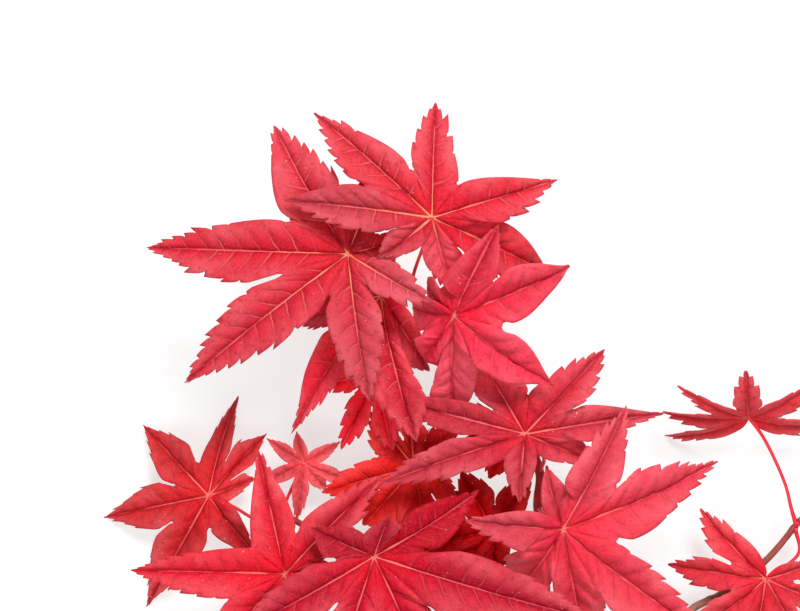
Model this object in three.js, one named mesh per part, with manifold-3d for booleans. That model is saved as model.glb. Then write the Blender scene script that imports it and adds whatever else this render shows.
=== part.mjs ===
// Leafy branch end of a red Japanese maple, cut from the tree and laid down on its lower leaves.
// Millimetres, +Z up. The origin is the centre of the flat cut, and the branch grows towards +Y and -X.
// Every leaf is a thin, pleated, seven-lobed blade fused to its stalk, and a node of its own.
import * as THREE from 'three';
import { mergeVertices } from 'three/addons/utils/BufferGeometryUtils.js';
import Module from 'manifold-3d';

const wasm = await Module();
wasm.setup();

// Driving dimensions, in mm where they are lengths.
const CUT_RADIUS = 2.4; // stem radius at the cut, and the height of the cut's centre over the table
const TABLE = -CUT_RADIUS;
const GAP = 0.35; // clear space between pieces that join
const BLADE_THICKNESS = 1.1;
const STALK_RADIUS = { heart: 0.85, foot: 0.95 };
const STALK_SIDES = 6;
const STEM_SIDES = 10;
const SHOOT_SIDES = 8;

// Shape of a lobe, as shares of its length.
const SINUS_SHARE = 0.34; // how far out the notch lies between two lobes a usual angle apart
const USUAL_SPREAD = THREE.MathUtils.degToRad(22.5); // half that usual angle
const HALF_WIDTH = 0.155; // widest half width, a third of the way from the notch to the tip
const TOOTH = 0.13; // how far teeth stand out of the margin, as a share of the half width
const ARCH = 0.05; // rise of the midrib's middle over the straight line from heart to tip
const PLEAT = 0.3; // rise of the half blade per mm of half width
const CROWDING = 0.93; // share of the room up to the neighbouring lobe that a lobe may fill
const INNER_ROWS = 1; // rows from the heart to the notch
const REST = null; // in place of a rise: the lobe's tip is pressed flat on the table
const PRESSED = 0.05; // height over the table of the middle of a tip that rests on it

const LEAF_RED = 0xb5263a;
const LEAF_DEEP = 0x8a1024;
const LEAF_ORANGE = 0xd8402c;
const BARK = 0x7d5a48;
const YOUNG_BARK = 0x8f3b3a;

const vec = ([x, y, z]) => new THREE.Vector3(x, y, z);
const through = (points) => new THREE.CatmullRomCurve3(points.map(vec));

function toSolid(geometry) {
  const bare = geometry.index ? geometry.clone() : geometry;
  bare.deleteAttribute('normal');
  bare.deleteAttribute('uv');
  const merged = mergeVertices(bare, 1e-5);
  return new wasm.Manifold(new wasm.Mesh({
    numProp: 3,
    vertProperties: new Float32Array(merged.attributes.position.array),
    triVerts: new Uint32Array(merged.index.array),
  }));
}

function toGeometry(solid) {
  const mesh = solid.getMesh();
  const geometry = new THREE.BufferGeometry();
  geometry.setAttribute('position', new THREE.BufferAttribute(mesh.vertProperties, 3));
  geometry.setIndex(new THREE.BufferAttribute(mesh.triVerts, 1));
  return geometry;
}

// A tapering limb along a smooth curve through its points, closed by a flat cap at each end.
function limb(curve, radii, sides, steps, extra = 0) {
  const frames = curve.computeFrenetFrames(steps, false);
  const position = [];
  const index = [];
  for (let step = 0; step <= steps; step += 1) {
    const share = step / steps;
    const centre = curve.getPointAt(share);
    if (step === 0) centre.addScaledVector(curve.getTangentAt(0), -extra);
    if (step === steps) centre.addScaledVector(curve.getTangentAt(1), extra);
    const radius = THREE.MathUtils.lerp(radii[0], radii[1], share) + extra;
    for (let side = 0; side < sides; side += 1) {
      const angle = (side / sides) * 2 * Math.PI;
      const spoke = frames.normals[step].clone().multiplyScalar(Math.cos(angle) * radius);
      spoke.addScaledVector(frames.binormals[step], Math.sin(angle) * radius);
      position.push(...spoke.add(centre).toArray());
    }
  }
  for (let step = 0; step < steps; step += 1) {
    for (let side = 0; side < sides; side += 1) {
      const next = (side + 1) % sides;
      const [a, b] = [step * sides + side, step * sides + next];
      index.push(a, b, b + sides, a, b + sides, a + sides);
    }
  }
  for (let side = 1; side < sides - 1; side += 1) {
    const last = steps * sides;
    index.push(0, side + 1, side, last, last + side, last + side + 1);
  }
  const geometry = new THREE.BufferGeometry();
  geometry.setAttribute('position', new THREE.Float32BufferAttribute(position, 3));
  geometry.setIndex(index);
  return toSolid(geometry);
}

// A pointed bud on a limb: a turned profile, leaning the way it grows.
function bud(curve, { share, direction, length, radius }, extra) {
  const profile = [[0, 0], [0.7, 0.1], [1, 0.35], [0.75, 0.65], [0, 1]];
  const outline = profile.map(([across, along]) => {
    return new THREE.Vector2(across * (radius + extra), along * (length + extra));
  });
  const geometry = new THREE.LatheGeometry(outline, STALK_SIDES);
  const turn = new THREE.Quaternion();
  turn.setFromUnitVectors(new THREE.Vector3(0, 1, 0), vec(direction).normalize());
  geometry.applyQuaternion(turn);
  geometry.translate(...curve.getPointAt(share).toArray());
  return toSolid(geometry);
}

// The straight line from a leaf's heart to the tip of one of its lobes.
function lobeSpan(heart, [bearing, reach, rise]) {
  const angle = THREE.MathUtils.degToRad(bearing);
  const height = rise === REST ? TABLE + PRESSED - heart.z : rise;
  return new THREE.Vector3(Math.cos(angle) * reach, Math.sin(angle) * reach, height);
}

// Midrib, side direction and face direction of one lobe.
function makeLobe(heart, face, span, arch) {
  const length = span.length();
  const along = span.clone().normalize();
  const across = face.clone().cross(along).normalize();
  const up = along.clone().cross(across);
  const rib = (share) => heart.clone().addScaledVector(span, share)
    .addScaledVector(up, arch * length * 4 * share * (1 - share));
  const start = rib(0.1).sub(heart).normalize();
  return { length, across, up, rib, start };
}

// The leaf's face direction: the mean turn from each lobe to the next.
function faceDirection(spans) {
  const face = new THREE.Vector3();
  spans.slice(1).forEach((span, place) => face.add(spans[place].clone().cross(span)));
  return face.normalize();
}

// The blade's middle surface: for each half lobe a strip between the midrib and the margin.
// Rows up to the notch end on the crease that two lobes share, later rows end on the toothed margin.
function bladeSurface(leaf) {
  const heart = vec(leaf.heart);
  const spans = leaf.lobes.map((lobe) => lobeSpan(heart, lobe));
  const face = faceDirection(spans);
  const lobes = spans.map((span) => makeLobe(heart, face, span, ARCH));
  const usualLength = lobes.reduce((sum, lobe) => sum + lobe.length, 0) / lobes.length;
  const position = [heart.clone()];
  const index = [];
  const add = (point) => position.push(point) - 1;

  const creases = lobes.slice(1).map((next, place) => {
    const lobe = lobes[place];
    const half = lobe.start.angleTo(next.start) / 2;
    const spread = Math.sqrt(Math.tan(USUAL_SPREAD) / Math.tan(half));
    const away = SINUS_SHARE * Math.min(spread, 1.1) * (lobe.length + next.length) / 2;
    const notch = heart.clone().addScaledVector(lobe.start.clone().add(next.start).normalize(), away);
    notch.addScaledVector(face, away * Math.sin(half) * PLEAT);
    const row = [0];
    for (let step = 1; step <= INNER_ROWS; step += 1) {
      row.push(add(heart.clone().lerp(notch, step / INNER_ROWS)));
    }
    return { notch, half, away, row };
  });

  lobes.forEach((lobe, place) => {
    const teeth = lobe.length > 34 ? 3 : 2;
    const widest = HALF_WIDTH * Math.sqrt(lobe.length * usualLength);
    const rows = INNER_ROWS + 2 * teeth + 1;
    const ribRow = [0];
    for (let row = 1; row <= rows; row += 1) {
      const outer = SINUS_SHARE + (1 - SINUS_SHARE) * (row - INNER_ROWS) / (rows - INNER_ROWS);
      const share = row <= INNER_ROWS ? SINUS_SHARE * row / INNER_ROWS : outer;
      ribRow.push(add(lobe.rib(share * (row < rows ? 0.92 : 1))));
    }
    [creases[place], creases[place - 1]].forEach((crease, side) => {
      const sign = side === 0 ? 1 : -1;
      const edge = crease ? [...crease.row] : [0];
      const inner = edge.length - 1;
      const from = crease ? crease.notch.clone().sub(heart).dot(lobe.start) / lobe.length : 0;
      const first = crease ? Math.sin(crease.half) * crease.away : 0;
      for (let row = inner + 1; row < rows; row += 1) {
        const tooth = (rows - row) % 2 === 0 ? 1 : -1;
        const share = (row - inner) / (rows - inner) + tooth * 0.25 / rows;
        const along = from + (1 - from) * share;
        const room = crease ? along * lobe.length * Math.tan(crease.half) * CROWDING : Infinity;
        const swell = share ** 0.7 * (1 - share) ** 1.1 / 0.3;
        const bulge = swell * Math.max(widest - 0.6 * first, 0);
        const half = Math.min(first * (1 - share) + bulge, room) * (1 + tooth * TOOTH);
        const point = lobe.rib(along).addScaledVector(lobe.across, sign * half);
        edge.push(add(point.addScaledVector(lobe.up, half * PLEAT)));
      }
      edge.push(ribRow[rows]);
      for (let row = 0; row < rows; row += 1) {
        const corners = [ribRow[row], ribRow[row + 1], edge[row + 1], edge[row]];
        const [a, b, c, d] = sign > 0 ? corners : [corners[0], corners[3], corners[2], corners[1]];
        if (a !== b && b !== c) index.push(a, b, c);
        if (a !== d && d !== c) index.push(a, c, d);
      }
    });
  });
  const surface = new THREE.BufferGeometry();
  surface.setFromPoints(position);
  surface.setIndex(index);
  surface.computeVertexNormals();
  return surface;
}

// Both faces of a surface, half the thickness away from it, with a wall along its open edges.
// Nothing reaches below the table.
function thicken(surface, thickness) {
  const count = surface.attributes.position.count;
  const { array } = surface.index;
  const position = [];
  const index = [];
  [1, -1].forEach((sign) => {
    for (let place = 0; place < count; place += 1) {
      const point = new THREE.Vector3().fromBufferAttribute(surface.attributes.position, place);
      const normal = new THREE.Vector3().fromBufferAttribute(surface.attributes.normal, place);
      point.addScaledVector(normal, sign * thickness / 2);
      position.push(point.x, point.y, Math.max(point.z, TABLE));
    }
  });
  const open = new Map();
  for (let place = 0; place < array.length; place += 3) {
    const [a, b, c] = array.slice(place, place + 3);
    index.push(a, b, c, a + count, c + count, b + count);
    [[a, b], [b, c], [c, a]].forEach(([from, to]) => {
      if (!open.delete(`${to},${from}`)) open.set(`${from},${to}`, [from, to]);
    });
  }
  open.forEach(([from, to]) => {
    index.push(to, from, from + count, to, from + count, to + count);
  });
  const geometry = new THREE.BufferGeometry();
  geometry.setAttribute('position', new THREE.Float32BufferAttribute(position, 3));
  geometry.setIndex(index);
  return toSolid(geometry);
}

// The woody limbs, each a curve from its thick end to its tip, which buds and leaf scars are fused to.
const LIMBS = {
  main_stem: {
    points: [[0, 0, 0], [0, 6, 0], [-1, 13, 0.7], [-6, 25, 3], [-21, 50, 11], [-36, 67, 20],
      [-47, 81, 29], [-47, 94, 34], [-52, 106, 37], [-62, 117, 39], [-75, 127, 40],
      [-91, 140, 40]],
    radii: [CUT_RADIUS, 1.2],
    sides: STEM_SIDES,
    steps: 30,
    buds: [
      { share: 0.555, direction: [3, -0.5, 2], length: 6, radius: 1.7 },
      { share: 0.99, direction: [-3, 2, -1], length: 5, radius: 1.5 },
    ],
    colour: BARK,
  },
  left_shoot: {
    points: [[-34, 65, 19], [-46, 63, 20], [-59, 64, 22], [-76, 61, 28], [-94, 59, 34]],
    radii: [1.5, 1.1],
    sides: SHOOT_SIDES,
    steps: 14,
    joins: 'main_stem',
    buds: [
      { share: 0.4, direction: [-2, 3, 0.5], length: 5, radius: 1.5 },
      { share: 0.98, direction: [-3, 0, 1], length: 5, radius: 1.4 },
    ],
    colour: YOUNG_BARK,
  },
  low_shoot: {
    points: [[-10, 30, 4.5], [-38, 36, 6], [-76, 49, 8], [-110, 66, 9], [-136, 81, 10]],
    radii: [1.7, 1.1],
    sides: SHOOT_SIDES,
    steps: 20,
    joins: 'main_stem',
    buds: [{ share: 0.99, direction: [-3, 2, 0.5], length: 5, radius: 1.4 }],
    colour: BARK,
  },
  right_shoot: {
    points: [[-5, 22, 2.5], [5, 45, 6], [15, 51, 8], [30, 63, 12], [41, 77, 16]],
    radii: [1.6, 1.1],
    sides: SHOOT_SIDES,
    steps: 14,
    joins: 'main_stem',
    buds: [{ share: 0.98, direction: [2, 2, 1], length: 5, radius: 1.4 }],
    colour: BARK,
  },
};

// The leaves. Each has its heart, where stalk and midribs meet, and its lobes in turn round the heart:
// bearing in degrees from +X, reach in plan, and rise to the tip. The stalk runs from the heart through
// its bends to its place on a limb.
const LEAVES = [
  {
    name: 'leaf_top',
    heart: [-83, 176, 84],
    lobes: [[287, 23, -24], [336, 41, -26], [17, 41, -8], [88, 36, -8], [138, 49, -10], [173, 46, -6],
      [217, 21, -8]],
    stalk: [[-85, 169, 74], [-89, 156, 58], [-88, 147, 49], [-87.5, 137, 40]],
    limb: 'main_stem',
    colour: LEAF_RED,
  },
  {
    name: 'leaf_left',
    heart: [-109, 165, 72],
    lobes: [[68, 29, -4], [120, 47, -8], [178, 64, -10], [218, 66, -12], [278, 47, -10], [330, 30, 2],
      [16, 18, -8]],
    stalk: [[-104, 167, 68], [-98, 162.5, 63], [-94, 154, 54], [-92, 146, 46], [-90.5, 139.5, 40]],
    limb: 'main_stem',
    colour: LEAF_RED,
  },
  {
    name: 'leaf_hanging',
    heart: [-99, 152, 50],
    lobes: [[95, 16, REST], [160, 24, -36], [205, 30, -16], [237, 53, -9], [284, 48, 6]],
    stalk: [[-96, 148, 47], [-92, 139, 44.5], [-85, 134.8, 40]],
    limb: 'main_stem',
    colour: LEAF_RED,
  },
  {
    name: 'leaf_centre',
    heart: [-76, 146, 74],
    lobes: [[169, 13, -14], [238, 17, -16], [273, 33, -38], [325, 38, -6], [23, 39, 2], [64, 31, 8],
      [125, 12, -17]],
    stalk: [[-78, 147, 68], [-80, 143, 56], [-80, 136, 46], [-79, 130, 40]],
    limb: 'main_stem',
    colour: LEAF_RED,
  },
  {
    name: 'leaf_inner_bright',
    heart: [-100, 127, 41],
    lobes: [[90, 12, -4], [140, 14, -4], [192, 19, -6], [244, 28, -10], [281, 26, -5], [319, 15, -4]],
    stalk: [[-94, 129, 39], [-86, 131, 38.5], [-80, 130, 40]],
    limb: 'main_stem',
    colour: LEAF_ORANGE,
  },
  {
    name: 'leaf_right',
    heart: [-53, 108, 56],
    lobes: [[337, 24, -10], [8, 46, -6], [47, 37, 2], [120, 29, -10], [166, 50, -11], [200, 50, -12],
      [266, 22, -2]],
    stalk: [[-49, 103, 50], [-46, 99, 41], [-47, 95, 34]],
    limb: 'main_stem',
    colour: LEAF_RED,
  },
  {
    name: 'leaf_inner_small',
    heart: [-56, 111, 46],
    lobes: [[120, 15, -4], [165, 15, -4], [206, 16, -6], [247, 20, -8], [286, 15, -4]],
    stalk: [[-58, 113, 43], [-60, 115, 39]],
    limb: 'main_stem',
    colour: LEAF_DEEP,
  },
  {
    name: 'leaf_inner_mid',
    heart: [-88, 96, 32],
    lobes: [[42, 19, -2], [94, 16, -1], [129, 23, -2], [196, 32, -6], [229, 26, -6], [280, 21, -6],
      [326, 17, -4]],
    stalk: [[-83, 98, 31], [-74, 103, 33], [-60, 115, 38]],
    limb: 'main_stem',
    colour: LEAF_ORANGE,
  },
  {
    name: 'leaf_low_right',
    heart: [-41, 78, 58],
    lobes: [[176, 31, -4], [239, 25, -20], [283, 46, -22], [324, 61, -8], [23, 54, -4], [63, 44, 3],
      [104, 20, -10]],
    stalk: [[-43, 79, 50], [-46, 81, 40], [-47, 82, 30]],
    limb: 'main_stem',
    colour: LEAF_RED,
  },
  {
    name: 'leaf_inner_dark',
    heart: [-62, 75, 31],
    lobes: [[59, 21, -4], [119, 22, -5], [185, 16, -4], [228, 13, -3], [271, 14, -3]],
    stalk: [[-57, 76, 30], [-51, 78, 29], [-46, 80, 28]],
    limb: 'main_stem',
    colour: LEAF_DEEP,
  },
  {
    name: 'leaf_front',
    heart: [-101, 69, 56],
    lobes: [[156, 22, -4], [209, 52, -6], [252, 48, -8], [295, 50, -8], [344, 75, 1], [31, 39, -8],
      [70, 14, 2]],
    stalk: [[-102, 71, 49], [-99, 68, 41], [-95, 64, 36.5], [-90, 59.2, 33]],
    limb: 'left_shoot',
    colour: LEAF_RED,
  },
  {
    name: 'leaf_low_left',
    heart: [-130, 62, 42],
    lobes: [[0, 16, -6], [45, 45, -4], [103, 41, -6], [180, 51, -10], [229, 46, -10], [272, 39, -10],
      [315, 18, -8]],
    stalk: [[-122, 59, 37], [-109, 55, 34], [-98, 54, 32], [-92, 59, 33.5]],
    limb: 'left_shoot',
    colour: LEAF_RED,
  },
  {
    name: 'leaf_back_left',
    heart: [-157, 85, 13],
    lobes: [[19, 17, -4], [47, 28, -8], [75, 34, REST], [135, 33, -12], [193, 38, REST],
      [240, 45, REST], [307, 28, -8]],
    stalk: [[-149, 81, 9], [-140, 76.5, 9], [-134, 79.7, 10]],
    limb: 'low_shoot',
    colour: LEAF_RED,
  },
  {
    name: 'leaf_back_small',
    heart: [-125, 96, 17],
    lobes: [[262, 20, -9], [310, 12, -6], [338, 18, -6], [30, 14, -4], [103, 11, -2], [147, 15, -4],
      [206, 18, -8]],
    stalk: [[-128, 90, 13], [-133, 79, 10]],
    limb: 'low_shoot',
    colour: LEAF_ORANGE,
  },
  {
    name: 'leaf_far_right',
    heart: [23, 112, 22],
    lobes: [[355, 31, -10], [30, 23, 14], [103, 16, 20], [157, 27, 12], [177, 28, -4],
      [197, 26, REST]],
    stalk: [[29, 104, 18], [36, 89, 17], [38, 81, 17], [40, 75, 15.7]],
    limb: 'right_shoot',
    colour: LEAF_RED,
  },
  {
    name: 'leaf_far_low',
    heart: [29, 58, 20],
    lobes: [[133, 31, -6], [173, 32, -8], [218, 36, -18], [261, 40, REST], [302, 39, -20],
      [338, 31, -14], [16, 18, -8]],
    stalk: [[34, 60, 15], [41, 66, 14], [39.5, 74.5, 15.3]],
    limb: 'right_shoot',
    colour: LEAF_RED,
  },
];

const branch = new THREE.Group();

function addNode(name, solid, color, roughness) {
  const material = new THREE.MeshStandardMaterial({ color, roughness, metalness: 0 });
  const mesh = new THREE.Mesh(toGeometry(solid), material);
  mesh.name = name;
  branch.add(mesh);
}

// The wood of a limb with its buds, grown by the gap where it is to cut a neighbour clear.
function makeLimb({ points, radii, sides, steps, buds }, extra = 0) {
  const curve = through(points);
  const wood = limb(curve, radii, sides, steps, extra);
  return buds.reduce((whole, shape) => whole.add(bud(curve, shape, extra)), wood);
}

// A cut can leave a scrap on the limb's far side: only the largest piece is kept.
function largest(solid) {
  return solid.decompose().sort((a, b) => b.volume() - a.volume())[0];
}

for (const [name, shape] of Object.entries(LIMBS)) {
  let solid = makeLimb(shape);
  if (shape.joins) solid = largest(solid.subtract(makeLimb(LIMBS[shape.joins], GAP)));
  addNode(name, solid, shape.colour, 0.8);
}

for (const leaf of LEAVES) {
  const blade = thicken(bladeSurface(leaf), BLADE_THICKNESS);
  const course = through([leaf.heart, ...leaf.stalk]);
  const stalk = limb(course, [STALK_RADIUS.heart, STALK_RADIUS.foot], STALK_SIDES, 8);
  const clear = makeLimb(LIMBS[leaf.limb], GAP);
  addNode(leaf.name, largest(blade.add(stalk).subtract(clear)), leaf.colour, 0.55);
}

export default branch;
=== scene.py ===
import math
import random

import bpy
import numpy as np
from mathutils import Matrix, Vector, noise


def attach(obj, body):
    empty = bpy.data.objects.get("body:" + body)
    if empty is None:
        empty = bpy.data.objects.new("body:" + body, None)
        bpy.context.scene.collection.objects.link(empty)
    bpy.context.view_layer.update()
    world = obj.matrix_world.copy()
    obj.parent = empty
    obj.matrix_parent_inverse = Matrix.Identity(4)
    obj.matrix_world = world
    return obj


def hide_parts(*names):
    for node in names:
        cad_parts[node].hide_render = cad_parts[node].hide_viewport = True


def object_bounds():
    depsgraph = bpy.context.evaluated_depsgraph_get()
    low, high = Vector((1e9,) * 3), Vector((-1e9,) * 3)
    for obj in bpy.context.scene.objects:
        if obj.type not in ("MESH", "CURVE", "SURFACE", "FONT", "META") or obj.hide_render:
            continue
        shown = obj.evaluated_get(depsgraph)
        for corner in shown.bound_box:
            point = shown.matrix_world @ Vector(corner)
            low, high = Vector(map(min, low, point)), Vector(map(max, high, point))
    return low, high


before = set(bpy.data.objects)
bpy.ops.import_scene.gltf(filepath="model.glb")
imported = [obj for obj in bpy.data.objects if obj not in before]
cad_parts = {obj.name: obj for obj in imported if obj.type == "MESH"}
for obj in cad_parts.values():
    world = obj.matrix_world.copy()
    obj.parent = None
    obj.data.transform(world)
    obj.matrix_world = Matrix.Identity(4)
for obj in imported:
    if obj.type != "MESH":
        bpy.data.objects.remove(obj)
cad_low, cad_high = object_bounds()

# -----------------------------------------------------------------------------
# The table that the cut branch lies on: a wide sheet of white acrylic, lit a little from below,
# in a pale room, with one soft lamp beyond the leaves' tips and a wide one overhead.
MM = 0.001
TABLE_HEIGHT = -2.4  # mm, where the lowest leaf tips lie
TABLE_SIZE = 60.0  # m, so that its far edge is out of sight from low down
SHEET_GREY = 0.34
SHEET_GLOW = 0.66
ROOM_LIGHT = 0.17
LAMPS = [
    # name, place, width, watts
    ("soft_lamp_beyond", (0.12, 0.8, 1.3), 0.42, 20),
    ("soft_lamp_overhead", (-0.3, -0.35, 1.4), 0.7, 8.5),
]

scene = bpy.context.scene
scene.view_settings.view_transform = "Standard"


def add_object(name, mesh):
    piece = bpy.data.objects.new(name, mesh)
    scene.collection.objects.link(piece)
    return piece


half = TABLE_SIZE / 2
table_mesh = bpy.data.meshes.new("table_top")
corners = [(-half, -half), (half, -half), (half, half), (-half, half)]
table_mesh.from_pydata([(x, y, TABLE_HEIGHT * MM) for x, y in corners], [], [(0, 1, 2, 3)])
table_top = add_object("table_top", table_mesh)

acrylic = bpy.data.materials.new("white_acrylic")
acrylic.use_nodes = True
acrylic_shader = acrylic.node_tree.nodes["Principled BSDF"]
acrylic_shader.inputs["Base Color"].default_value = (SHEET_GREY, SHEET_GREY, SHEET_GREY, 1)
acrylic_shader.inputs["Roughness"].default_value = 0.9
acrylic_shader.inputs["Emission Color"].default_value = (1, 1, 1, 1)
acrylic_shader.inputs["Emission Strength"].default_value = SHEET_GLOW
table_mesh.materials.append(acrylic)

room = bpy.data.worlds.new("pale_room")
room.use_nodes = True
room.node_tree.nodes["Background"].inputs["Color"].default_value = (1, 1, 1, 1)
room.node_tree.nodes["Background"].inputs["Strength"].default_value = ROOM_LIGHT
scene.world = room

branch_middle = Vector((cad_low + cad_high) / 2)
for lamp_name, place, width, watts in LAMPS:
    lamp_data = bpy.data.lights.new(lamp_name, "AREA")
    lamp_data.size = width
    lamp_data.energy = watts
    lamp = add_object(lamp_name, lamp_data)
    lamp.location = place
    toward = branch_middle - lamp.location
    lamp.rotation_euler = toward.to_track_quat("-Z", "Y").to_euler()

# -----------------------------------------------------------------------------
# The camera looks straight down on the leaves from four fifths of a metre over their middle.
CAMERA_PLACE = Vector((-92.8, 148.9, 852.6)) * MM
FOCAL_LENGTH = 112.5  # mm
SENSOR_WIDTH = 36  # mm
NEAREST_SEEN = 0.01  # m

camera_data = bpy.data.cameras.new("camera")
camera_data.lens = FOCAL_LENGTH
camera_data.sensor_width = SENSOR_WIDTH
camera_data.clip_start = NEAREST_SEEN
camera = add_object("camera", camera_data)
camera.location = CAMERA_PLACE
scene.camera = camera

# -----------------------------------------------------------------------------
# The woody limbs: a stem cut off flat, with three side shoots. Each is a tapering rod with faint
# ridges, swollen where shoots and stalks leave it and ringed by the scars of older leaves.
LIMBS = {
    # points and radii in mm; as shares of the length, the joints and where the bark turns red
    "main_stem": {
        "points": [(0, 0, 0), (0, 6, 0), (-1, 13, 0.7), (-6, 25, 3), (-21, 50, 11), (-36, 67, 20),
                   (-47, 81, 29), (-47, 94, 34), (-52, 106, 37), (-62, 117, 39), (-75, 127, 40),
                   (-91, 140, 40)],
        "radii": (2.4, 1.2),
        "joints": [0.08, 0.13, 0.36, 0.46, 0.55, 0.72, 0.87, 0.96],
        "reddens": (0.3, 0.52),
        "slot": "bark",
    },
    "left_shoot": {
        "points": [(-34, 65, 19), (-46, 63, 20), (-59, 64, 22), (-76, 61, 28), (-94, 59, 34)],
        "radii": (1.5, 1.1),
        "joints": [0.06, 0.4, 0.95],
        "reddens": (-0.1, 0.15),
        "slot": "young_bark",
    },
    "low_shoot": {
        "points": [(-10, 30, 4.5), (-38, 36, 6), (-76, 49, 8), (-110, 66, 9), (-136, 81, 10)],
        "radii": (1.7, 1.1),
        "joints": [0.03, 0.32, 0.64, 0.97],
        "reddens": (0.5, 1.0),
        "slot": "bark",
    },
    "right_shoot": {
        "points": [(-5, 22, 2.5), (5, 45, 6), (15, 51, 8), (30, 63, 12), (41, 77, 16)],
        "radii": (1.6, 1.1),
        "joints": [0.05, 0.45, 0.95],
        "reddens": (0.55, 1.1),
        "slot": "bark",
    },
}
BARK_SIDES = 20
BARK_STEP = 0.9  # mm along a limb
JOINT_SWELLING = 0.2  # of the radius
JOINT_LENGTH = 0.014  # of the limb
RING_DEPTH = 0.05  # of the radius
RING_LENGTH = 0.003  # of the limb
RING_BEFORE_JOINT = 0.02
BARK_WAVES = ((1, 0.05), (2.7, 0.025))  # closeness and height
PARTS_OF_SPAN = 24  # of a curve between two of its points, before they are spaced evenly


def smooth_course(points, steps):
    """Places spaced evenly along the smooth curve through the given points."""
    points = [Vector(point) for point in points]
    knots = [points[0] * 2 - points[1], *points, points[-1] * 2 - points[-2]]
    dense = []
    for before, start, end, after in zip(knots, knots[1:], knots[2:], knots[3:]):
        lead = (start - before).length ** 0.5
        span = (end - start).length ** 0.5
        trail = (after - end).length ** 0.5
        leave = (start - before) / lead - (end - before) / (lead + span) + (end - start) / span
        reach = (end - start) / span - (after - start) / (span + trail) + (after - end) / trail
        for part in range(PARTS_OF_SPAN):
            t = part / PARTS_OF_SPAN
            a = 2 * t**3 - 3 * t**2 + 1
            b = t**3 - 2 * t**2 + t
            c = t**3 - t**2
            dense.append(start * a + leave * span * b + end * (1 - a) + reach * span * c)
    dense.append(points[-1])
    lengths = np.cumsum([0] + [(b - a).length for a, b in zip(dense, dense[1:])])
    wanted = np.linspace(0, lengths[-1], steps + 1)
    table = np.array(dense)
    places = np.stack([np.interp(wanted, lengths, table[:, axis]) for axis in range(3)], axis=1)
    return [Vector(place) for place in places]


def directions(course):
    """The way that a course runs at each of its places, and two directions square to it."""
    ahead = [b - a for a, b in zip(course, course[1:])]
    ways = [ahead[0], *[(a + b) / 2 for a, b in zip(ahead, ahead[1:])], ahead[-1]]
    ways = [way.normalized() for way in ways]
    side = ways[0].cross(Vector((0, 0, 1)))
    if side.length < 0.1:
        side = ways[0].cross(Vector((1, 0, 0)))
    frames = []
    for way in ways:
        side = (side - way * side.dot(way)).normalized()
        frames.append((way, side, way.cross(side)))
    return frames


def rod(name, course, radius_at, sides):
    """A closed rod along a course. radius_at takes the share of the length and the angle."""
    steps = len(course) - 1
    frames = directions(course)
    verts, faces, along = [], [], []
    for step, (centre, (way, side, over)) in enumerate(zip(course, frames)):
        for turn in range(sides):
            angle = 2 * math.pi * turn / sides
            radius = radius_at(step / steps, angle)
            verts.append(centre + (side * math.cos(angle) + over * math.sin(angle)) * radius)
            along.append(step / steps)
    for step in range(steps):
        for turn in range(sides):
            a, b = step * sides + turn, step * sides + (turn + 1) % sides
            faces.append((a, b, b + sides, a + sides))
    for end, way in ((0, -1), (steps, 1)):
        ring = [end * sides + turn for turn in range(sides)]
        middle = len(verts)
        verts.append(course[end])
        along.append(end / steps)
        for turn in range(sides):
            a, b = ring[turn], ring[(turn + 1) % sides]
            faces.append((middle, b, a) if way < 0 else (middle, a, b))
    mesh = bpy.data.meshes.new(name)
    mesh.from_pydata([vert * MM for vert in verts], [], faces)
    share = mesh.attributes.new("along", "FLOAT", "POINT")
    share.data.foreach_set("value", along)
    mesh.polygons.foreach_set("use_smooth", [len(face) == 4 for face in faces])
    return mesh


class Reading:
    """A number on the way through a finish's nodes. Sums with it add Math nodes."""

    def __init__(self, finish, socket):
        self.finish = finish
        self.socket = socket

    def worked(self, operation, first, second=0.0):
        return self.finish.read("ShaderNodeMath", {"operation": operation}, {0: first, 1: second})

    def put_through(self, operation):
        return self.worked(operation, self)

    def __add__(self, other):
        return self.worked("ADD", self, other)

    __radd__ = __add__

    def __sub__(self, other):
        return self.worked("SUBTRACT", self, other)

    def __rsub__(self, other):
        return self.worked("SUBTRACT", other, self)

    def __mul__(self, other):
        return self.worked("MULTIPLY", self, other)

    __rmul__ = __mul__

    def __truediv__(self, other):
        return self.worked("DIVIDE", self, other)


def feed(socket, value):
    """Links a socket to another one, or sets what it holds."""
    if isinstance(value, Reading):
        value = value.socket
    if isinstance(value, bpy.types.NodeSocket):
        socket.id_data.links.new(value, socket)
    elif socket.type == "RGBA":
        socket.default_value = (*value, 1)
    else:
        socket.default_value = value


def new_node(tree, kind, settings=None, sockets=None):
    """A node of any kind: its settings first, then what its sockets get."""
    node = tree.nodes.new(kind)
    for key, value in (settings or {}).items():
        setattr(node, key, value)
    for key, value in (sockets or {}).items():
        feed(node.inputs[key], value)
    return node


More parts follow.
